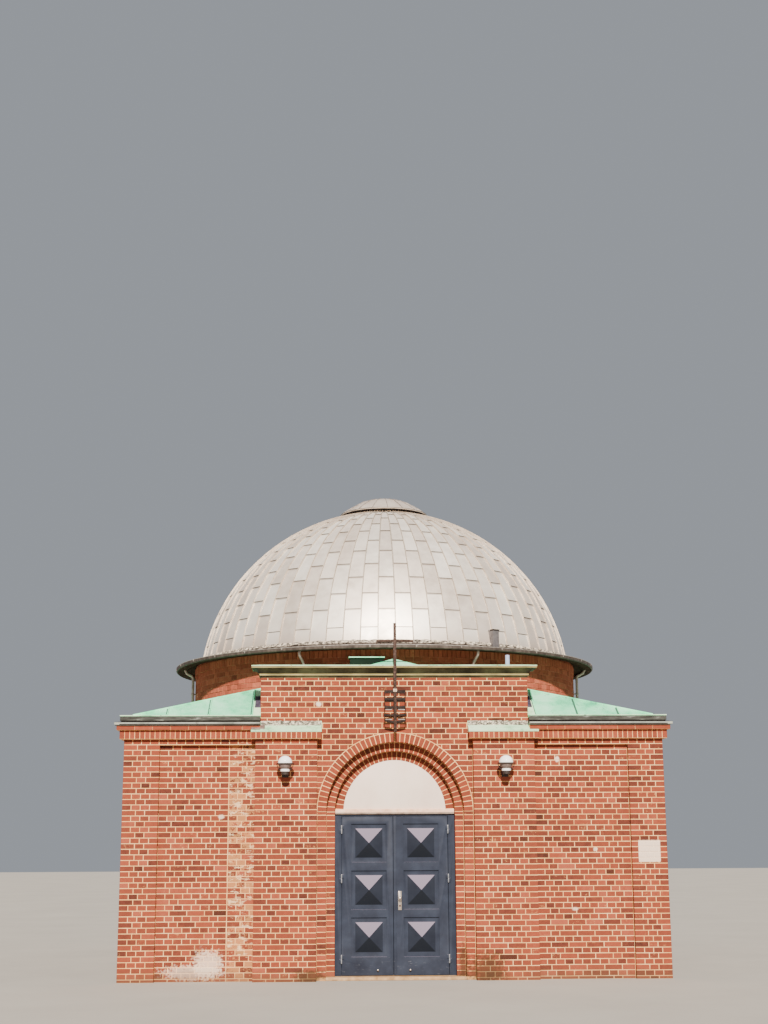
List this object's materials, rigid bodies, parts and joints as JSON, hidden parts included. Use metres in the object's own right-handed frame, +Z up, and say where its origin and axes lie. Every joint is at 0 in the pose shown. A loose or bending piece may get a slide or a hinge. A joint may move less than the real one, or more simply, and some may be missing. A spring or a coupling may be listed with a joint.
{
  "type": "funeral chapel",
  "caption": "Small square brick funeral chapel with a drum, a sheet-metal dome, copper wing roofs and a recessed arched doorway whose panelled leaves open outwards.",
  "frame": {"origin": "on the ground at the middle of the square plan", "axes": "+Z up, the entrance faces -Y, +X to the right as seen from in front of the entrance"},
  "size_m": [8.28, 8.502, 8.005],
  "materials": {
    "brick": "unglazed hard-fired brick in lime mortar, weathered",
    "concrete": "rough concrete",
    "render": "smooth pale render, matt",
    "stone": "dressed pale stone, weathered",
    "copper": "sheet copper with a pale green patina, matt",
    "olive_copper": "sheet copper with a dull olive patina",
    "fascia": "grey sheet metal, weathered",
    "zinc": "dulled sheet metal in seamed sheets",
    "gutter": "dark brown-grey sheet metal, weathered",
    "pipe": "pale grey sheet metal pipe, weathered",
    "iron": "wrought iron, weathered brown-grey",
    "door_paint": "wood painted slate grey, satin, chalking",
    "handle": "dull pale metal",
    "lamp": "opal white, glossy"
  },
  "bodies": {
    "building": {"back_wall": "brick", "block_side_wall_left": "brick", "block_side_wall_right": "brick", "brick_cornice": "brick", "ceiling_slab": "concrete", "cornice_cover": "copper", "cross": "iron", "cross_bracket": "iron", "dome_back": "zinc", "dome_front": "zinc", "dome_left": "zinc", "dome_right": "zinc", "dome_vent": "gutter", "door_frame": "door_paint", "door_jamb_left": "brick", "door_jamb_right": "brick", "downpipe_left": "pipe", "downpipe_right": "pipe", "drum_back": "brick", "drum_front": "brick", "drum_left": "brick", "drum_right": "brick", "eaves_fascia": "fascia", "entrance_cornice": "olive_copper", "entrance_pier_left": "brick", "entrance_pier_right": "brick", "entrance_roof": "copper", "entrance_wall": "brick", "floor": "concrete", "front_elbow_left": "pipe", "front_elbow_right": "pipe", "front_wall_left": "brick", "front_wall_right": "brick", "inner_arch": "brick", "lamp_left": "lamp", "lamp_right": "lamp", "lantern": "zinc", "left_wall": "brick", "lintel": "stone", "middle_arch": "brick", "outer_arch": "brick", "pier_cap_left": "copper", "pier_cap_right": "copper", "right_wall": "brick", "ring_gutter": "gutter", "roof_back": "copper", "roof_front_left": "copper", "roof_front_right": "copper", "roof_hatch": "copper", "roof_left": "copper", "roof_pipe": "lamp", "roof_right": "copper", "side_sheet_left": "gutter", "side_sheet_right": "gutter", "threshold": "stone", "tympanum": "render"},
    "left_leaf": {"door_leaf_left": "door_paint"},
    "right_leaf": {"door_leaf_right": "door_paint", "door_handle": "handle"}
  },
  "joints": [
    {"name": "left_leaf_hinge", "type": "hinge", "parent": "building", "child": "left_leaf", "pos_m": [-0.79, -3.712, 1.186], "axis": [0, 0, -1], "range_deg": [0, 110]},
    {"name": "right_leaf_hinge", "type": "hinge", "parent": "building", "child": "right_leaf", "pos_m": [0.79, -3.712, 1.186], "axis": [0, 0, 1], "range_deg": [0, 110]}
  ]
}
